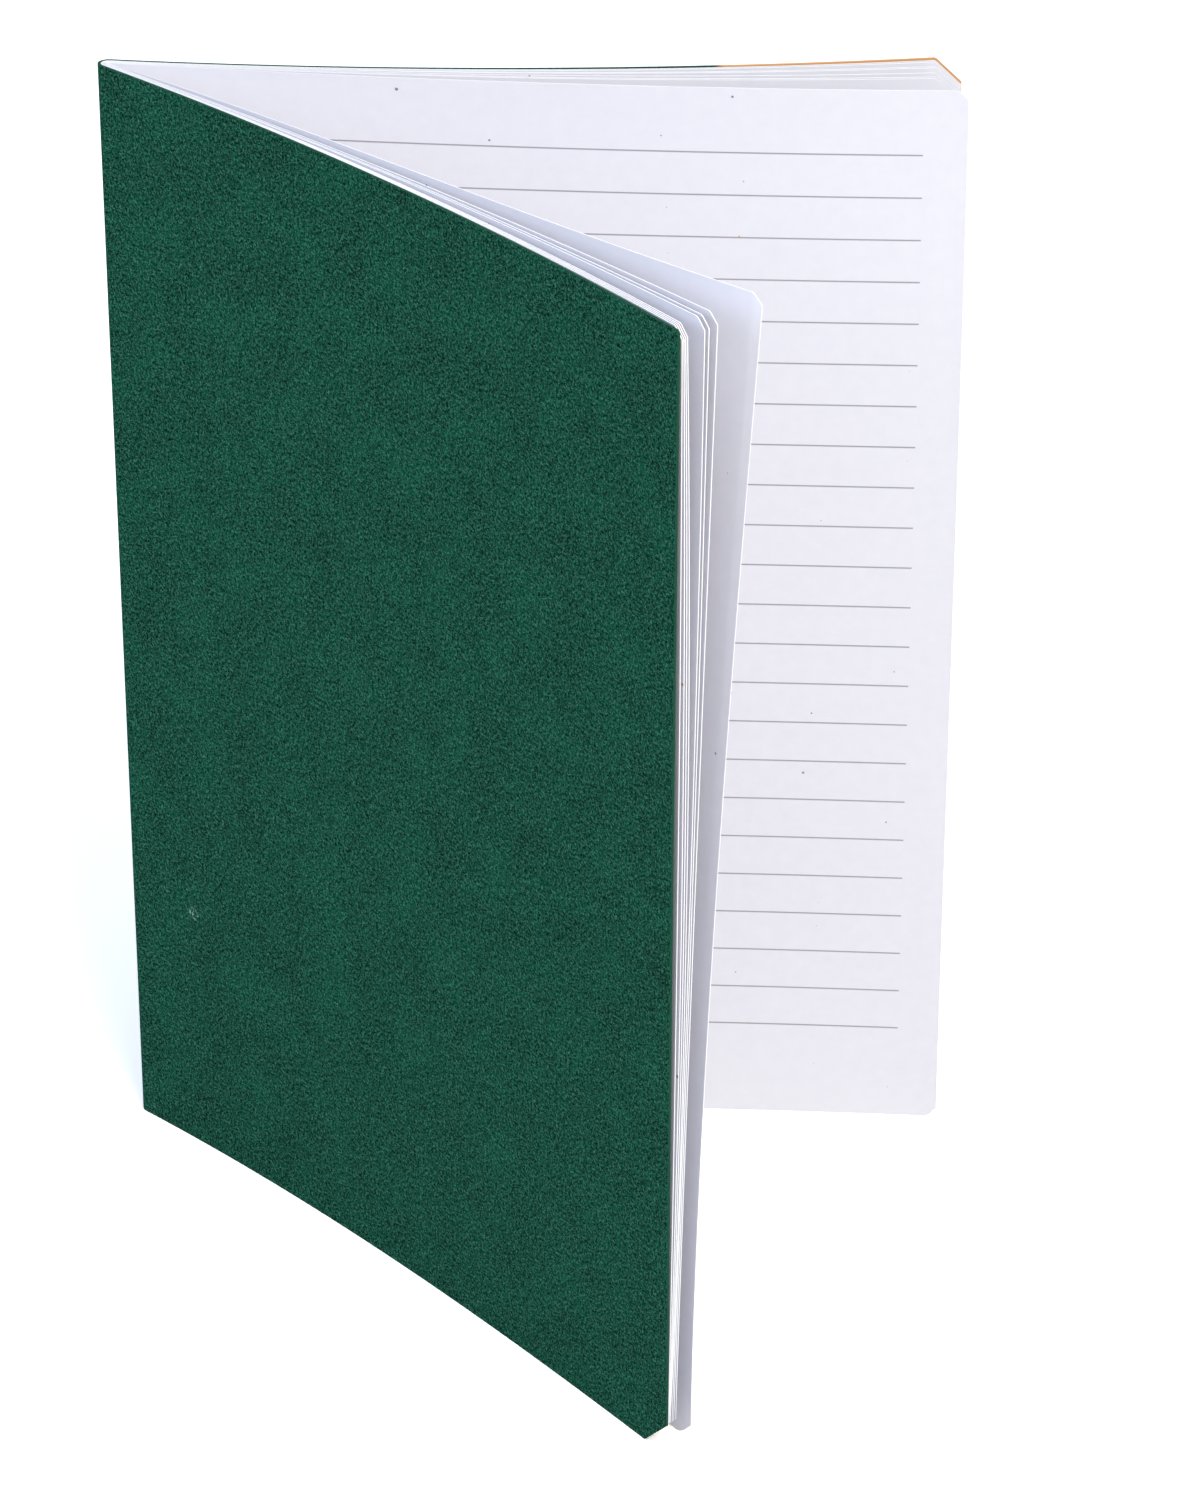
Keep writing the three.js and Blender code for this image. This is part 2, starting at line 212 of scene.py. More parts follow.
def linear(hex_colour):
    """The linear colour of an sRGB hex value such as "1e5a46"."""
    channels = [int(hex_colour[i : i + 2], 16) / 255 for i in (0, 2, 4)]
    return tuple(c / 12.92 if c <= 0.04045 else ((c + 0.055) / 1.055) ** 2.4 for c in channels) + (1,)


def add(tree, kind, inputs=(), **settings):
    """Adds a node with its settings, and fills or links its inputs."""
    made = tree.nodes.new(kind)
    for name, value in settings.items():
        setattr(made, name, value)
    for key, value in dict(inputs).items():
        if isinstance(value, bpy.types.NodeSocket):
            tree.links.new(value, made.inputs[key])
        else:
            made.inputs[key].default_value = value
    return made


def new_material(name):
    """A material with a cleared node tree."""
    material = bpy.data.materials.new(name)
    material.use_nodes = True
    material.node_tree.nodes.clear()
    return material, material.node_tree


def sheet_millimetres(tree):
    """The sheet's own UV map in millimetres: in from the fore edge and up from the foot.

    The way in counts negative on the outer face and positive on the inner face.
    """
    source = add(tree, "ShaderNodeTexCoord")
    mapped = add(tree, "ShaderNodeMapping", {"Vector": source.outputs["UV"], "Scale": PER_MILLIMETRE})
    return mapped.outputs[0]


# Uncoated card, dyed in the pulp: matt and mottled, with a soft cloudiness of the whole sheet and
# short fibres that took up more or less of the dye and lie every way. Its clouds are about 11 mm
# across. Its mottle and its tooth are about 0.4 mm across, as coarse as they need to show. The dye
# goes from its deepest to its palest colour between the two noise values.
CLOUDS_PER_MM = 0.09
CLOUDINESS = 0.28
MOTTLE_PER_MM = 2.3
CARD_TOOTH_PER_MM = 2.2
DYE_RANGE = (0.37, 0.63)

# Real fibres are about 0.03 mm wide and too fine to show, so they are drawn several times as wide. A
# fibre is where a crooked noise comes this close to its middle value, and a second noise, between the
# patch values and a little coarser, breaks it up. A layer has its shift, its scale per millimetre, its
# colour and its strength.
FIBRE_HALF_WIDTH = 0.08
FIBRE_PATCHES = (0.42, 0.58)
PATCH_TO_FIBRE_SCALE = 0.9
FIBRE_LAYERS = (
    (0, 1.2, "38856a", 0.28),
    (37, 1.2, "010f0a", 0.6),
    (71, 2.2, "60a489", 0.55),
)


def dyed_card(name, worn):
    """The face of a cover. The function `worn` adds that cover's own wear to the colour."""
    material, tree = new_material(name)
    place = sheet_millimetres(tree)

    cloud = add(
        tree,
        "ShaderNodeTexNoise",
        {"Vector": place, "Scale": CLOUDS_PER_MM, "Detail": 4.0, "Roughness": 0.6},
    )
    uneven = add(
        tree,
        "ShaderNodeMath",
        {0: cloud.outputs["Fac"], 1: CLOUDINESS, 2: -CLOUDINESS / 2},
        operation="MULTIPLY_ADD",
    )
    mottle = add(
        tree,
        "ShaderNodeTexNoise",
        {"Vector": place, "Scale": MOTTLE_PER_MM, "Detail": 2.0, "Roughness": 0.6, "Distortion": 0.8},
    )
    shade = add(
        tree,
        "ShaderNodeMath",
        {0: mottle.outputs["Fac"], 1: uneven.outputs[0]},
        operation="ADD",
    )
    depth = add(
        tree,
        "ShaderNodeMapRange",
        {"Value": shade.outputs[0], "From Min": DYE_RANGE[0], "From Max": DYE_RANGE[1]},
    )
    ground = add(
        tree,
        "ShaderNodeMix",
        {0: depth.outputs[0], 6: linear("000b06"), 7: linear("0a4f38")},
        data_type="RGBA",
    )

    colour = ground.outputs[2]
    for shift, scale, hex_colour, strength in FIBRE_LAYERS:
        moved = add(tree, "ShaderNodeMapping", {"Vector": place, "Location": (shift, shift, 0)})
        curl = add(
            tree,
            "ShaderNodeTexNoise",
            {
                "Vector": moved.outputs[0],
                "Scale": scale,
                "Detail": 1.5,
                "Roughness": 0.5,
                "Distortion": 1.6,
            },
        )
        offset = add(tree, "ShaderNodeMath", {0: curl.outputs["Fac"], 1: 0.5}, operation="SUBTRACT")
        away = add(tree, "ShaderNodeMath", {0: offset.outputs[0]}, operation="ABSOLUTE")
        line = add(
            tree,
            "ShaderNodeMapRange",
            {"Value": away.outputs[0], "From Max": FIBRE_HALF_WIDTH, "To Min": 1.0, "To Max": 0.0},
            interpolation_type="SMOOTHSTEP",
        )
        patch = add(
            tree,
            "ShaderNodeTexNoise",
            {"Vector": moved.outputs[0], "Scale": PATCH_TO_FIBRE_SCALE * scale, "Detail": 2.0},
        )
        broken = add(
            tree,
            "ShaderNodeMapRange",
            {
                "Value": patch.outputs["Fac"],
                "From Min": FIBRE_PATCHES[0],
                "From Max": FIBRE_PATCHES[1],
                "To Max": strength,
            },
            interpolation_type="SMOOTHSTEP",
        )
        amount = add(
            tree,
            "ShaderNodeMath",
            {0: line.outputs[0], 1: broken.outputs[0]},
            operation="MULTIPLY",
        )
        mixed = add(
            tree,
            "ShaderNodeMix",
            {0: amount.outputs[0], 6: colour, 7: linear(hex_colour)},
            data_type="RGBA",
        )
        colour = mixed.outputs[2]
    colour = worn(tree, place, colour)

    tooth = add(
        tree,
        "ShaderNodeTexNoise",
        {"Vector": place, "Scale": CARD_TOOTH_PER_MM, "Detail": 3.0, "Roughness": 0.7},
    )
    bump = add(
        tree,
        "ShaderNodeBump",
        {"Height": tooth.outputs["Fac"], "Strength": 0.25, "Distance": 0.05 * MM},
    )
    shader = add(
        tree,
        "ShaderNodeBsdfPrincipled",
        {
            "Base Color": colour,
            "Roughness": 0.9,
            "Specular IOR Level": 0.02,
            "Normal": bump.outputs["Normal"],
        },
    )
    add(tree, "ShaderNodeOutputMaterial", {"Surface": shader.outputs[0]})
    return material


# A small scuff low down on the front cover's outer face, in the sheet's millimetres. It fades from its
# core outwards, and its marks are where a noise is over the first value, full from the second.
SCUFF_PLACE = (-132.3, 49, 0)
SCUFF_RADIUS = 1.5
SCUFF_CORE = 0.3 * SCUFF_RADIUS
SCUFF_MARKS = (0.52, 0.6)
SCUFF_TEARS_PER_MM = 1.4


def scuffed(tree, place, colour):
    """The card's colour with broken pale marks where its surface is rubbed."""
    away = add(tree, "ShaderNodeVectorMath", {0: place, 1: SCUFF_PLACE}, operation="DISTANCE")
    near = add(
        tree,
        "ShaderNodeMapRange",
        {
            "Value": away.outputs["Value"],
            "From Min": SCUFF_CORE,
            "From Max": SCUFF_RADIUS,
            "To Min": 1.0,
            "To Max": 0.0,
        },
    )
    torn = add(
        tree,
        "ShaderNodeTexNoise",
        {"Vector": place, "Scale": SCUFF_TEARS_PER_MM, "Detail": 2.0, "Distortion": 1.0},
    )
    marks = add(
        tree,
        "ShaderNodeMapRange",
        {"Value": torn.outputs["Fac"], "From Min": SCUFF_MARKS[0], "From Max": SCUFF_MARKS[1]},
    )
    amount = add(tree, "ShaderNodeMath", {0: near.outputs[0], 1: marks.outputs[0]}, operation="MULTIPLY")
    mixed = add(
        tree,
        "ShaderNodeMix",
        {0: amount.outputs[0], 6: colour, 7: linear("a4c8b6")},
        data_type="RGBA",
    )
    return mixed.outputs[2]


def tan_rimmed(tree, place, colour):
    """The card's colour with its rim at the head faded to bare pulp near the fore edge."""
    axes = add(tree, "ShaderNodeSeparateXYZ", {0: place})
    inward = add(tree, "ShaderNodeMath", {0: axes.outputs["X"]}, operation="ABSOLUTE")
    along = add(
        tree,
        "ShaderNodeMapRange",
        {
            "Value": inward.outputs[0],
            "From Min": (TAN_EDGE_LENGTH - TAN_EDGE_FADE) / MM,
            "From Max": TAN_EDGE_LENGTH / MM,
            "To Min": 1.0,
            "To Max": 0.0,
        },
    )

    # The rim follows the clipped corner down
    clipped = add(
        tree,
        "ShaderNodeMath",
        {0: BACK_HEAD_CUT / MM, 1: inward.outputs[0]},
        operation="SUBTRACT",
    )
    clip = add(tree, "ShaderNodeMath", {0: clipped.outputs[0], 1: 0.0}, operation="MAXIMUM")
    height = add(tree, "ShaderNodeMath", {0: axes.outputs["Y"], 1: clip.outputs[0]}, operation="ADD")
    rim = PAGE_HEIGHT - TAN_RIM
    up = add(
        tree,
        "ShaderNodeMapRange",
        {"Value": height.outputs[0], "From Min": rim / MM, "From Max": (rim + TAN_RIM_FADE) / MM},
    )
    amount = add(tree, "ShaderNodeMath", {0: along.outputs[0], 1: up.outputs[0]}, operation="MULTIPLY")
    mixed = add(
        tree,
        "ShaderNodeMix",
        {0: amount.outputs[0], 6: colour, 7: linear("dda873")},
        data_type="RGBA",
    )
    return mixed.outputs[2]


# A cover's cut edge: the green of the card, faded to the tan of bare pulp near the fore edge if the
# edge has seen more light and handling. It is uneven over about 1.2 mm.
CUT_CARD_GRAIN_PER_MM = 0.8


def cut_card(name, tan_length):
    material, tree = new_material(name)
    place = sheet_millimetres(tree)
    grain = add(
        tree,
        "ShaderNodeTexNoise",
        {"Vector": place, "Scale": CUT_CARD_GRAIN_PER_MM, "Detail": 3.0},
    )
    green = add(
        tree,
        "ShaderNodeMix",
        {0: grain.outputs["Fac"], 6: linear("0e3a2b"), 7: linear("1b5540")},
        data_type="RGBA",
    )
    colour = green.outputs[2]
    if tan_length > 0:
        along = add(tree, "ShaderNodeSeparateXYZ", {0: place})
        inward = add(tree, "ShaderNodeMath", {0: along.outputs["X"]}, operation="ABSOLUTE")
        fade = add(
            tree,
            "ShaderNodeMapRange",
            {
                "Value": inward.outputs[0],
                "From Min": (tan_length - TAN_EDGE_FADE) / MM,
                "From Max": tan_length / MM,
            },
            interpolation_type="SMOOTHSTEP",
        )
        tan = add(
            tree,
            "ShaderNodeMix",
            {0: grain.outputs["Fac"], 6: linear("d39a5e"), 7: linear("e6b784")},
            data_type="RGBA",
        )
        mixed = add(
            tree,
            "ShaderNodeMix",
            {0: fade.outputs[0], 6: tan.outputs[2], 7: colour},
            data_type="RGBA",
        )
        colour = mixed.outputs[2]
    shader = add(
        tree,
        "ShaderNodeBsdfPrincipled",
        {"Base Color": colour, "Roughness": 0.95, "Specular IOR Level": 0.2},
    )
    add(tree, "ShaderNodeOutputMaterial", {"Surface": shader.outputs[0]})
    return material


# Wood-free writing paper, slightly blue-white and matt, with printed grey lines and a few specks. Its
# pulp is a little uneven over about 3 mm. Its tooth is finer than the 0.3 mm it is drawn at to show.
PULP_PER_MM = 0.35
PAPER_TOOTH_PER_MM = 3.0


def ruled_paper():
    material, tree = new_material("ruled_writing_paper")
    place = sheet_millimetres(tree)
    axes = add(tree, "ShaderNodeSeparateXYZ", {0: place})
    inward = add(tree, "ShaderNodeMath", {0: axes.outputs["X"]}, operation="ABSOLUTE")

    pulp = add(
        tree,
        "ShaderNodeTexNoise",
        {"Vector": place, "Scale": PULP_PER_MM, "Detail": 5.0, "Roughness": 0.65},
    )
    paper = add(
        tree,
        "ShaderNodeMix",
        {0: pulp.outputs["Fac"], 6: linear("e6e6ee"), 7: linear("efeef4")},
        data_type="RGBA",
    )

    # Distance to the nearest line in line pitches, then the stretch of the page the lines keep to
    first_line = PAGE_HEIGHT - FIRST_LINE_DROP
    last_line = first_line - (LINE_COUNT - 1) * LINE_PITCH
    counted = add(
        tree,
        "ShaderNodeMapRange",
        {
            "Value": axes.outputs["Y"],
            "From Min": last_line / MM,
            "From Max": first_line / MM,
            "To Max": LINE_COUNT - 1.0,
        },
        clamp=False,
    )
    nearest = add(tree, "ShaderNodeMath", {0: counted.outputs[0]}, operation="ROUND")
    apart = add(
        tree,
        "ShaderNodeMath",
        {0: counted.outputs[0], 1: nearest.outputs[0]},
        operation="SUBTRACT",
    )
    gap = add(tree, "ShaderNodeMath", {0: apart.outputs[0]}, operation="ABSOLUTE")
    half_width = LINE_WIDTH / LINE_PITCH / 2
    on_line = add(tree, "ShaderNodeMath", {0: gap.outputs[0], 1: half_width}, operation="LESS_THAN")
    printed = on_line.outputs[0]
    outer = add(tree, "ShaderNodeMath", {0: axes.outputs["X"], 1: 0.0}, operation="LESS_THAN")
    fore_margin = add(
        tree,
        "ShaderNodeMapRange",
        {"Value": outer.outputs[0], "To Min": FORE_MARGIN / MM, "To Max": OUTER_FACE_FORE_MARGIN / MM},
    )
    edges = (
        (axes.outputs["Y"], "GREATER_THAN", (last_line - LINE_PITCH / 2) / MM),
        (axes.outputs["Y"], "LESS_THAN", (first_line + LINE_PITCH / 2) / MM),
        (inward.outputs[0], "GREATER_THAN", fore_margin.outputs[0]),
        (inward.outputs[0], "LESS_THAN", (PAGE_WIDTH - GUTTER_MARGIN) / MM),
    )
    for value, side, limit in edges:
        kept = add(tree, "ShaderNodeMath", {0: value, 1: limit}, operation=side)
        both = add(tree, "ShaderNodeMath", {0: printed, 1: kept.outputs[0]}, operation="MULTIPLY")
        printed = both.outputs[0]
    ruled = add(
        tree,
        "ShaderNodeMix",
        {0: printed, 6: paper.outputs[2], 7: linear("a3a0a6")},
        data_type="RGBA",
    )

    # Specks of dust and bark, at other places on each leaf
    leaf = add(tree, "ShaderNodeAttribute", attribute_name=SPECK_SHIFT_ATTRIBUTE)
    moved = add(tree, "ShaderNodeVectorMath", {0: place, 1: leaf.outputs["Vector"]}, operation="ADD")
    cells = add(
        tree,
        "ShaderNodeTexVoronoi",
        {"Vector": moved.outputs[0], "Scale": 1 / SPECK_SPACING},
        voronoi_dimensions="2D",
    )
    draw = add(tree, "ShaderNodeSeparateColor", {0: cells.outputs["Color"]})
    size = add(
        tree,
        "ShaderNodeMapRange",
        {"Value": draw.outputs[0], "From Min": SPECKLESS_SHARE, "To Max": SPECK_RADIUS / SPECK_SPACING},
    )
    speck = add(
        tree,
        "ShaderNodeMath",
        {0: cells.outputs["Distance"], 1: size.outputs[0]},
        operation="LESS_THAN",
    )
    rust = add(
        tree,
        "ShaderNodeMath",
        {0: draw.outputs[1], 1: GREY_SPECK_SHARE},
        operation="GREATER_THAN",
    )
    speck_colour = add(
        tree,
        "ShaderNodeMix",
        {0: rust.outputs[0], 6: linear("8c8a92"), 7: linear("d9a877")},
        data_type="RGBA",
    )
    finished = add(
        tree,
        "ShaderNodeMix",
        {0: speck.outputs[0], 6: ruled.outputs[2], 7: speck_colour.outputs[2]},
        data_type="RGBA",
    )

    tooth = add(
        tree,
        "ShaderNodeTexNoise",
        {"Vector": place, "Scale": PAPER_TOOTH_PER_MM, "Detail": 3.0, "Roughness": 0.6},
    )
    bump = add(
        tree,
        "ShaderNodeBump",
        {"Height": tooth.outputs["Fac"], "Strength": 0.12, "Distance": 0.02 * MM},
    )
    shader = add(
        tree,
        "ShaderNodeBsdfPrincipled",
        {
            "Base Color": finished.outputs[2],
            "Roughness": 0.85,
            "Specular IOR Level": 0.25,
            "Normal": bump.outputs["Normal"],
        },
    )
    add(tree, "ShaderNodeOutputMaterial", {"Surface": shader.outputs[0]})
    return material


# The guillotined edge of a leaf, painted brighter than its faces as a highlight on the lit cut edges,
# and uneven over about 1.7 mm
CUT_PAPER_GRAIN_PER_MM = 0.6


def painted_highlight_paper_edge():
    material, tree = new_material("cut_paper_edge")
    place = sheet_millimetres(tree)
    grain = add(
        tree,
        "ShaderNodeTexNoise",
        {"Vector": place, "Scale": CUT_PAPER_GRAIN_PER_MM, "Detail": 3.0},
    )
    # Painted highlight: the same paper as the faces, given a near-white colour so that the cut edges
    # show as bright lines
    colour = add(
        tree,
        "ShaderNodeMix",
        {0: grain.outputs["Fac"], 6: linear("f9f9fc"), 7: linear("ffffff")},
        data_type="RGBA",
    )
    shader = add(
        tree,
        "ShaderNodeBsdfPrincipled",
        {"Base Color": colour.outputs[2], "Roughness": 0.9, "Specular IOR Level": 0.2},
    )
    add(tree, "ShaderNodeOutputMaterial", {"Surface": shader.outputs[0]})
    return material


# Galvanised steel wire: a soft grey shine, uneven over about 0.25 mm where the zinc lies thicker
ZINC_PER_MM = 4.0
WIRE_ROUGHNESS = (0.28, 0.45)


def galvanised_wire():
    material, tree = new_material("galvanised_wire")
    source = add(tree, "ShaderNodeTexCoord")
    place = add(tree, "ShaderNodeMapping", {"Vector": source.outputs["Object"], "Scale": PER_MILLIMETRE})
    zinc = add(
        tree,
        "ShaderNodeTexNoise",
        {"Vector": place.outputs[0], "Scale": ZINC_PER_MM, "Detail": 3.0},
    )
    colour = add(
        tree,
        "ShaderNodeMix",
        {0: zinc.outputs["Fac"], 6: linear("9da1a6"), 7: linear("c9ccd0")},
        data_type="RGBA",
    )
    rough = add(
        tree,
        "ShaderNodeMapRange",
        {"Value": zinc.outputs["Fac"], "To Min": WIRE_ROUGHNESS[0], "To Max": WIRE_ROUGHNESS[1]},
    )
    shader = add(
        tree,
        "ShaderNodeBsdfPrincipled",
        {"Base Color": colour.outputs[2], "Metallic": 1.0, "Roughness": rough.outputs[0]},
    )
    add(tree, "ShaderNodeOutputMaterial", {"Surface": shader.outputs[0]})
    return material


# One half of a folded sheet. Its offset is how far it lies from the middle of the fold, and its reach
# is how far its fore edge is from the fold line.
Sheet = namedtuple("Sheet", "side lie number offset thickness reach head_cut foot_cut foot_blend")


def describe_sheet(side, number):
    """Everything that shapes one half of a folded sheet, the cover being number 0."""
    innermost = number == SHEET_COUNT
    offset = COVER_OFFSET if number == 0 else (SHEET_COUNT - number + 0.5) * SHEET_PITCH

    # All were trimmed together when closed, so the inner sheets reach less far when the book is open
    reach = PAGE_WIDTH - (COVER_OFFSET - offset) * math.radians((BACK_ARM - FRONT_ARM) / 2)
    if side == FRONT:
        head_cut = FRONT_COVER_HEAD_CUT if number == 0 else CORNER_CUT
        foot_cut = INNERMOST_FOOT_CUT if innermost else FRONT_FOOT_CUT
    else:
        head_cut = CORNER_CUT if innermost else BACK_HEAD_CUT
        foot_cut = CORNER_CUT
        reach -= 0 if innermost else BACK_TRIM
    return Sheet(
        side=side,
        lie=(FRONT_LIES if side == FRONT else BACK_LIES)[number],
        number=number,
        offset=offset,
        thickness=CARD_THICKNESS if number == 0 else PAPER_THICKNESS,
        reach=reach,
        head_cut=head_cut,
        foot_cut=foot_cut,
        foot_blend=INNERMOST_FOOT_BLEND if innermost else CORNER_BLEND,
    )


def smooth(share):
    """A share from 0 to 1 eased at both ends."""
    return share * share * (3 - 2 * share)


def end_heading(end, share):
    """Heading at a sheet's head or foot. Its mean from fold to fore edge is the chord."""
    chord, bend, curl = end
    root = chord - bend / 2 - curl / 3
    return root + bend * share + curl * share * share


def leaf_heading(sheet, share, z):
    """Heading in degrees at a share of the way to the fore edge and at a height."""
    height = z / PAGE_HEIGHT
    foot = end_heading(sheet.lie.foot, share)
    head = end_heading(sheet.lie.head, share)
    middling = 4 * height * (1 - height)
    bow = sheet.lie.bow * middling * share
    return foot + (head - foot) * height**TWIST_POWER + bow


def fold_headings(sheet):
    """Headings in degrees at the crest of the fold and along its arm."""
    return FOLD_HEADING + 90 * sheet.side, FRONT_ARM if sheet.side == FRONT else BACK_ARM


def crest_length(sheet):
    """Length of the sheet's round from the crest of the fold to the start of its arm."""
    crest, arm = fold_headings(sheet)
    return sheet.offset * math.radians(abs(crest - arm))


def steps(start, end, count):
    """Even steps from start up to, but not including, end."""
    return [start + (end - start) * i / count for i in range(count)]


def column_distances(sheet):
    """Distances of a sheet's mesh columns from the fold, negative round the crest."""
    # Rounded, so that equal clips at head and foot share their columns
    easing = set()
    for cut, blend in ((sheet.head_cut, CORNER_BLEND), (sheet.foot_cut, sheet.foot_blend)):
        for i in range(-CORNER_STEPS, CORNER_STEPS + 1):
            easing.add(round(sheet.reach - cut + blend * i / CORNER_STEPS, 7))
    distances = steps(-crest_length(sheet), 0, CREST_STEPS)
    distances += steps(0, SHEET_START, ARM_STEPS)
    distances += steps(SHEET_START, min(easing), LEAF_STEPS)
    return distances + sorted(easing) + [sheet.reach]


def corner_inset(sheet, distance, cut, blend):
    """How far a clipped corner takes the edge in, with its inner end eased into the straight."""
    past = distance - (sheet.reach - cut)
    if past <= -blend:
        return 0
    if past >= blend:
        return past
    return (past + blend) ** 2 / (4 * blend)


def row_height(sheet, distance, share):
    """Height of a mesh row where it crosses a column. The share is 0 at the foot, 1 at the head."""
    foot = corner_inset(sheet, distance, sheet.foot_cut, sheet.foot_blend)
    head = PAGE_HEIGHT - corner_inset(sheet, distance, sheet.head_cut, CORNER_BLEND)
    return foot + (head - foot) * share


def thickness_at(sheet, distance, z):
    """A sheet's thickness. A leaf's grows to that of its burred edge."""
    if sheet.number == 0:
        return sheet.thickness
    along = smooth(min(1, max(0, distance) / BURR_LENGTH))
    up = smooth(min(1, z / BURR_HEIGHT))
    return sheet.thickness + (BURRED_THICKNESS - sheet.thickness) * along * up


def row_points(sheet, distances, share):
    """Middle points of one mesh row and the sheet's normals there, from the crest to the fore edge."""
    crest, arm = fold_headings(sheet)
    round_length = crest_length(sheet)
    root = leaf_heading(sheet, 0, PAGE_HEIGHT * share)
    points = []
    for i, distance in enumerate(distances):
        z = row_height(sheet, distance, share)
        if distance <= SHEET_START:
            if distance < 0:
                heading = arm + (crest - arm) * -distance / round_length
            else:
                heading = arm + (root - arm) * smooth(distance / SHEET_START)
            angle = math.radians(heading)
            out = max(0, distance)
            side = sheet.side * sheet.offset
            x = out * math.cos(angle) - side * math.sin(angle)
            y = out * math.sin(angle) + side * math.cos(angle)
        else:
            before = points[i - 1][0]
            step = distance - distances[i - 1]
            halfway = (distance + distances[i - 1]) / 2
            middle = math.radians(leaf_heading(sheet, halfway / PAGE_WIDTH, z))
            angle = math.radians(leaf_heading(sheet, distance / PAGE_WIDTH, z))
            x = before.x + step * math.cos(middle)
            y = before.y + step * math.sin(middle)
        points.append((Vector((x, y, z)), Vector((-math.sin(angle), math.cos(angle), 0))))
    return points


def sheet_piece(name, sheet, face_material, edge_material):
    """One half of a folded sheet: a slab of grid that is bent to the sheet's lie."""
    distances = column_distances(sheet)
    columns = len(distances) - 1

    # The slab stands on the unit square, with its columns along x and its rows along y
    shape = bmesh.new()
    bmesh.ops.create_grid(shape, x_segments=columns, y_segments=HEIGHT_STEPS, size=0.5)
    bmesh.ops.translate(shape, verts=shape.verts, vec=(0.5, 0.5, 0))
    grown = bmesh.ops.extrude_face_region(shape, geom=shape.faces[:])
    raised = [part for part in grown["geom"] if isinstance(part, bmesh.types.BMVert)]
    bmesh.ops.translate(shape, verts=raised, vec=(0, 0, 1))

    rows = [row_points(sheet, distances, j / HEIGHT_STEPS) for j in range(HEIGHT_STEPS + 1)]
    uv_map = shape.loops.layers.uv.new("sheet")
    for face in shape.faces:
        levels = {round(vert.co.z) for vert in face.verts}
        is_rim = len(levels) > 1
        outer = 1 in levels and not is_rim
        face.material_index = 1 if is_rim else 0
        face.smooth = True
        for loop in face.loops:
            column = round(loop.vert.co.x * columns)
            share = loop.vert.co.y
            inward = sheet.reach - distances[column]
            z = row_height(sheet, distances[column], share)
            loop[uv_map].uv = (-inward if outer else inward, z)
    for edge in shape.edges:
        kinds = {face.material_index for face in edge.link_faces}
        edge.smooth = len(kinds) == 1

    for vert in shape.verts:
        column = round(vert.co.x * columns)
        point, normal = rows[round(vert.co.y * HEIGHT_STEPS)][column]
        outward = (vert.co.z - 0.5) * thickness_at(sheet, distances[column], point.z) * sheet.side
        vert.co = FOLD_LINE + point + normal * outward
    bmesh.ops.recalc_face_normals(shape, faces=shape.faces)

    mesh = bpy.data.meshes.new(name)
    shape.to_mesh(mesh)
    shape.free()
    mesh.materials.append(face_material)
    mesh.materials.append(edge_material)
    if sheet.number > 0:
        shift = SPECK_SHIFT * (sheet.number if sheet.side == FRONT else -sheet.number)
        mark = mesh.attributes.new(SPECK_SHIFT_ATTRIBUTE, "FLOAT_VECTOR", "POINT")
        for value in mark.data:
            value.vector = shift
    piece = bpy.data.objects.new(name, mesh)
    bpy.context.scene.collection.objects.link(piece)
    return piece


def direction(heading):
    """The level unit vector in a heading."""
    angle = math.radians(heading)
    return Vector((math.cos(angle), math.sin(angle), 0))


def hang_on_fold(piece):
    """Bakes the sheet's placement into its mesh."""
    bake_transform(piece)


def make_cover(front_finish, back_finish):
    """The folded card. A finish is the materials of a half's faces and of its cut edge."""
    front = describe_sheet(FRONT, 0)
    back = describe_sheet(BACK, 0)
    front_card = sheet_piece("front_cover_card", front, *front_finish)
    back_card = sheet_piece("back_cover_card", back, *back_finish)
    hang_on_fold(front_card)
    hang_on_fold(back_card)
    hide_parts("front_cover", "cover_spine")
    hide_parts("back_cover")


def make_leaves(paper, highlighted_paper_edge):
    """The folded sheets of paper, from the one next to the cover to the innermost."""
    for number in range(1, SHEET_COUNT + 1):
        front = describe_sheet(FRONT, number)
        back = describe_sheet(BACK, number)
        front_page = sheet_piece(f"front_ruled_leaf_{number}", front, paper, highlighted_paper_edge)
        back_page = sheet_piece(f"back_ruled_leaf_{number}", back, paper, highlighted_paper_edge)
        hang_on_fold(front_page)
        hang_on_fold(back_page)
        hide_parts(f"front_leaf_{number}", f"sheet_fold_{number}")
        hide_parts(f"back_leaf_{number}")


def staple_corners():
    """The staple's centre line as depth into the book and height, before its bends are rounded."""
    half = STAPLE_WIDTH / 2
    return [
        (CLINCH_DEPTH, half - STAPLE_CLINCH),
        (CLINCH_DEPTH, half),
        (CROWN_DEPTH, half),
        (CROWN_DEPTH, -half),
        (CLINCH_DEPTH, -half),
        (CLINCH_DEPTH, STAPLE_CLINCH - half),
    ]


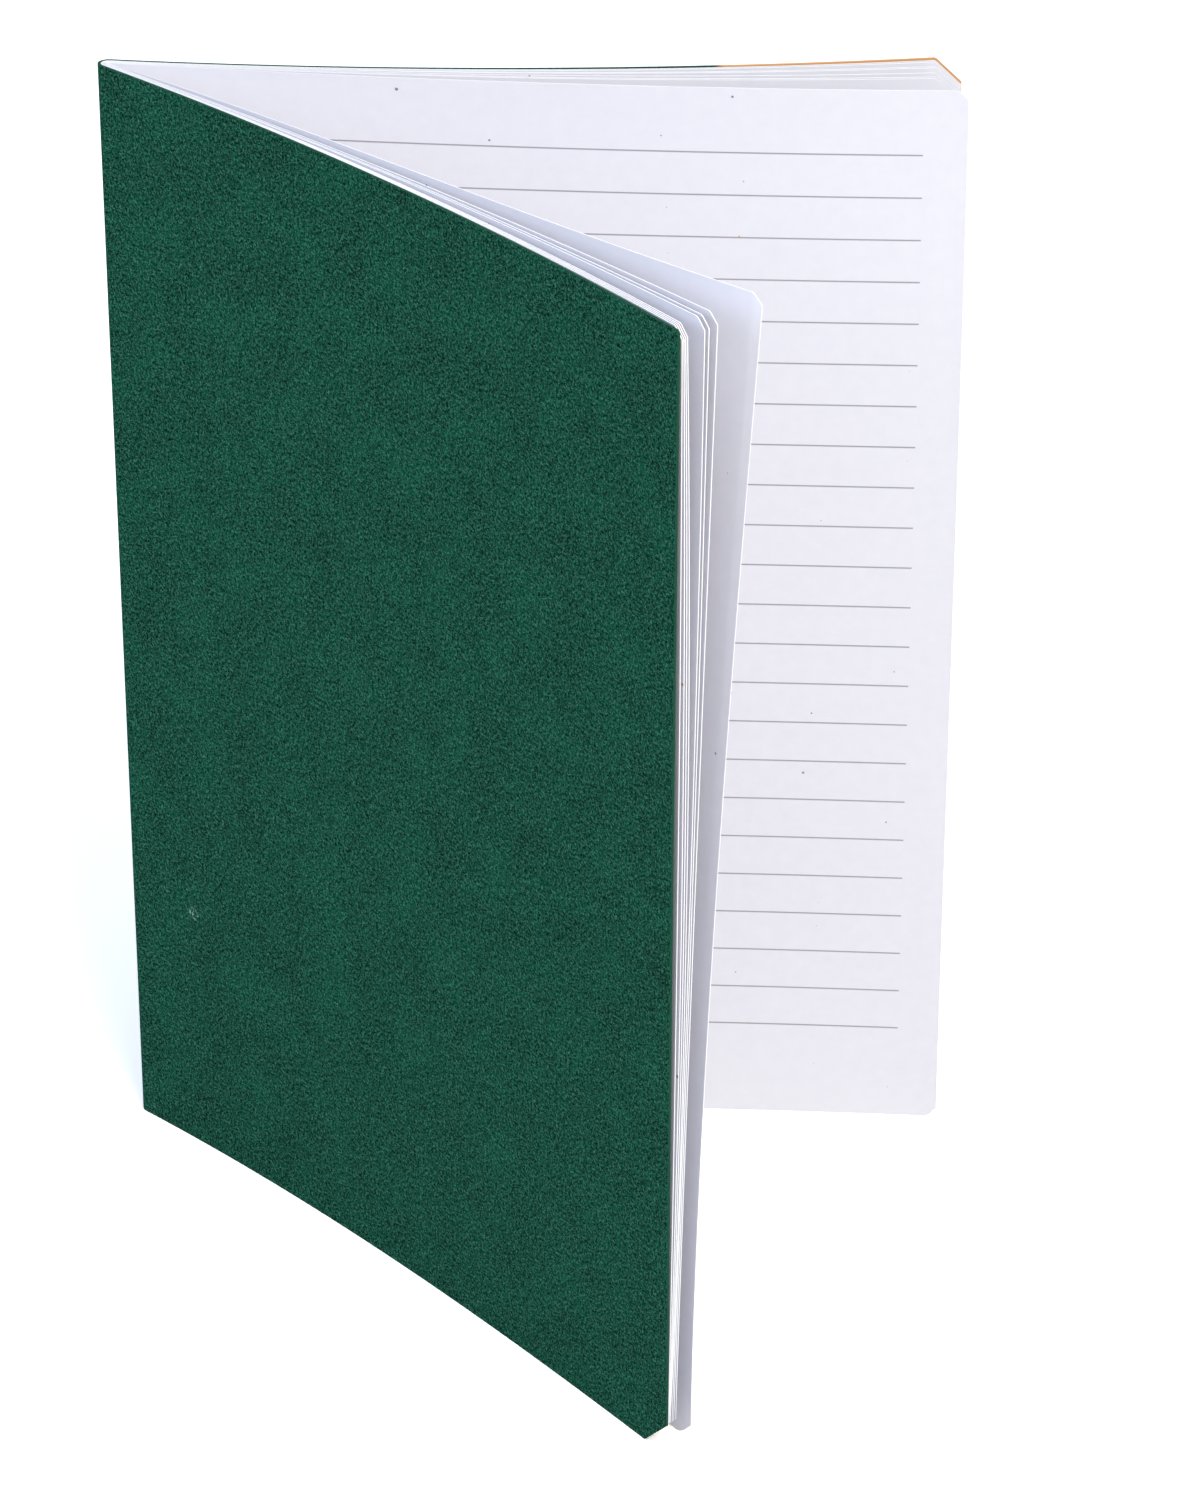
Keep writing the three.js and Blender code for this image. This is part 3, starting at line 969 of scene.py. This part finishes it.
def staple_piece(name, node, wire):
    """A round wire along the staple's centre line, closed at its ends."""
    low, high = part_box(node)
    middle = Vector((FOLD_LINE.x, FOLD_LINE.y, (low.z + high.z) / 2))
    inward = direction(FOLD_HEADING)
    corners = [Vector(corner) for corner in staple_corners()]
    path = [corners[0]]
    for i in range(1, len(corners) - 1):
        before = (corners[i - 1] - corners[i]).normalized() * STAPLE_BEND_RADIUS
        after = (corners[i + 1] - corners[i]).normalized() * STAPLE_BEND_RADIUS
        for step in range(STAPLE_BEND_STEPS + 1):
            turn = step / STAPLE_BEND_STEPS * math.pi / 2
            path.append(corners[i] + before * (1 - math.sin(turn)) + after * (1 - math.cos(turn)))
    path.append(corners[-1])

    curve = bpy.data.curves.new(name, "CURVE")
    curve.dimensions = "3D"
    curve.bevel_depth = WIRE_DIAMETER / 2
    curve.bevel_resolution = WIRE_BEVEL_RESOLUTION
    curve.use_fill_caps = True
    spline = curve.splines.new("POLY")
    spline.points.add(len(path) - 1)
    for point, place in zip(spline.points, path):
        point.co = (*(middle + inward * place.x + Vector((0, 0, place.y))), 1)
    drawn = bpy.data.objects.new(name + "_path", curve)
    bpy.context.scene.collection.objects.link(drawn)
    mesh = bpy.data.meshes.new_from_object(drawn.evaluated_get(bpy.context.evaluated_depsgraph_get()))
    bpy.data.objects.remove(drawn)

    shape = bmesh.new()
    shape.from_mesh(mesh)
    bmesh.ops.remove_doubles(shape, verts=shape.verts, dist=0.001 * MM)
    bmesh.ops.recalc_face_normals(shape, faces=shape.faces)
    shape.to_mesh(mesh)
    shape.free()
    mesh.name = name
    mesh.materials.clear()
    mesh.materials.append(wire)
    piece = bpy.data.objects.new(name, mesh)
    bpy.context.scene.collection.objects.link(piece)
    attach(piece, "binding")
    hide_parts(node)


# Studio: broad lamps from the right in front, from above and from the left, all aimed at the middle of
# the notebook. Sizes and places are in metres and colours are linear.
WARM_LIGHT = (1.0, 0.94, 0.80)
COOL_LIGHT = (0.68, 0.80, 1.0)
Lamp = namedtuple("Lamp", "name place size watts colour")
LAMPS = (
    Lamp("key", place=Vector((0.62, -0.95, 1.10)), size=0.9, watts=15.0, colour=WARM_LIGHT),
    Lamp("top", place=Vector((0.10, -0.35, 1.50)), size=1.2, watts=4.5, colour=WARM_LIGHT),
    Lamp("left", place=Vector((-1.35, -0.22, 0.80)), size=0.8, watts=9.5, colour=COOL_LIGHT),
)
LAMP_AIM = Vector((0.06, -0.03, PAGE_HEIGHT / 2))
SURROUND_LIGHT = (0.70, 0.79, 1.0, 1)
SURROUND_STRENGTH = 0.55

# The floor lights the notebook as its pale grey does, and is shown bright enough to come out white,
# but for the notebook's shadow
FLOOR_SIZE = 12.0
FLOOR_SHOWN = (1.62, 1.58, 1.52, 1)


def seen_rays(tree):
    """1 for rays that show the backdrop itself: straight, in a reflection or through glass."""
    rays = add(tree, "ShaderNodeLightPath").outputs
    seen = rays["Is Camera Ray"]
    for kind in ("Is Glossy Ray", "Is Transmission Ray"):
        either = add(tree, "ShaderNodeMath", {0: seen, 1: rays[kind]}, operation="MAXIMUM")
        seen = either.outputs[0]
    return seen


def make_floor():
    """A level floor, which is stage and no part of the notebook."""
    material, tree = new_material("studio_floor")
    colour = add(
        tree,
        "ShaderNodeMix",
        {0: seen_rays(tree), 6: linear("e6e6e8"), 7: FLOOR_SHOWN},
        data_type="RGBA",
    )
    shader = add(tree, "ShaderNodeBsdfDiffuse", {"Color": colour.outputs[2]})
    add(tree, "ShaderNodeOutputMaterial", {"Surface": shader.outputs[0]})
    shape = bmesh.new()
    bmesh.ops.create_grid(shape, x_segments=1, y_segments=1, size=FLOOR_SIZE / 2)
    mesh = bpy.data.meshes.new("studio_floor")
    shape.to_mesh(mesh)
    shape.free()
    mesh.materials.append(material)
    floor = bpy.data.objects.new("studio_floor", mesh)
    bpy.context.scene.collection.objects.link(floor)


def hang_lamp(lamp):
    """Adds a round soft lamp and turns it to its aim."""
    light = bpy.data.lights.new(lamp.name, "AREA")
    light.shape = "DISK"
    light.size = lamp.size
    light.energy = lamp.watts
    light.color = lamp.colour
    hung = bpy.data.objects.new(lamp.name, light)
    hung.location = lamp.place
    hung.rotation_euler = (LAMP_AIM - lamp.place).to_track_quat("-Z", "Y").to_euler()
    bpy.context.scene.collection.objects.link(hung)


def make_light():
    """Hangs the lamps and sets the pale surround."""
    for lamp in LAMPS:
        hang_lamp(lamp)

    world = bpy.data.worlds.new("surround")
    bpy.context.scene.world = world
    world.use_nodes = True
    tree = world.node_tree
    tree.nodes.clear()
    lit = add(tree, "ShaderNodeBackground", {"Color": SURROUND_LIGHT, "Strength": SURROUND_STRENGTH})
    white = add(tree, "ShaderNodeBackground", {"Color": (1, 1, 1, 1), "Strength": 1.0})
    shown = add(
        tree,
        "ShaderNodeMixShader",
        {0: seen_rays(tree), 1: lit.outputs[0], 2: white.outputs[0]},
    )
    add(tree, "ShaderNodeOutputWorld", {"Surface": shown.outputs[0]})


place_camera()
make_cover(
    (dyed_card("scuffed_card", scuffed), cut_card("cut_card_edge", 0)),
    (dyed_card("tan_rimmed_card", tan_rimmed), cut_card("faded_card_edge", TAN_EDGE_LENGTH)),
)
make_leaves(ruled_paper(), painted_highlight_paper_edge())
wire_finish = galvanised_wire()
staple_piece("lower_wire_staple", "lower_staple", wire_finish)
staple_piece("upper_wire_staple", "upper_staple", wire_finish)
make_floor()
make_light()
bpy.context.scene.view_settings.view_transform = "Standard"
